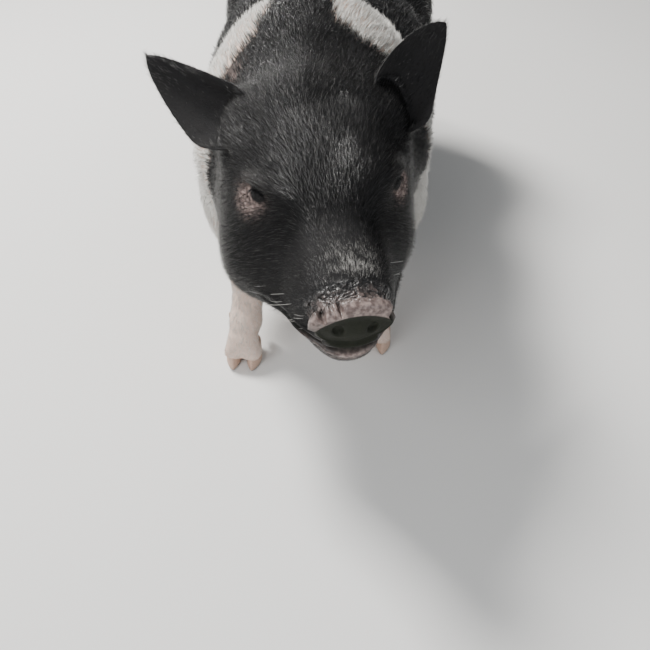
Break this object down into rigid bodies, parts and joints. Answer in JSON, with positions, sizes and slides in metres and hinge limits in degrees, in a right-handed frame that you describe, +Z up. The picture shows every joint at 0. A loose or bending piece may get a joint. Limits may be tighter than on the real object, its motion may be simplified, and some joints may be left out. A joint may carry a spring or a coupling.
{
  "type": "pot bellied pig model",
  "caption": "Life-size still model of a small adult pot bellied pig standing, head low and turned a little to its left, black with a white collar and white forelegs.",
  "frame": {"origin": "on the floor, under the middle of the box round the whole pig", "axes": "+Y towards the tail, -Y the way the snout points, +X the pig's own left, +Z up"},
  "size_m": [0.3074, 0.8076, 0.4038],
  "materials": {
    "black_hide": "short black bristles over dark skin",
    "white_hide": "pale bristles over pinkish skin",
    "snout_skin": "bare moist skin, dark with a paler rim",
    "claw_horn": "pale worn horn",
    "eye": "wet and dark"
  },
  "bodies": {
    "root": {"head": "black_hide", "snout": "snout_skin", "ear_left": "black_hide", "ear_right": "black_hide", "eye_left": "eye", "eye_right": "eye", "neck": "white_hide", "torso": "black_hide", "tail": "black_hide", "foreleg_left": "white_hide", "foreleg_left_claw_outer": "claw_horn", "foreleg_left_claw_inner": "claw_horn", "foreleg_right": "white_hide", "foreleg_right_claw_outer": "claw_horn", "foreleg_right_claw_inner": "claw_horn", "hindleg_left": "black_hide", "hindleg_left_claw_outer": "claw_horn", "hindleg_left_claw_inner": "claw_horn", "hindleg_right": "black_hide", "hindleg_right_claw_outer": "claw_horn", "hindleg_right_claw_inner": "claw_horn"}
  },
  "joints": []
}
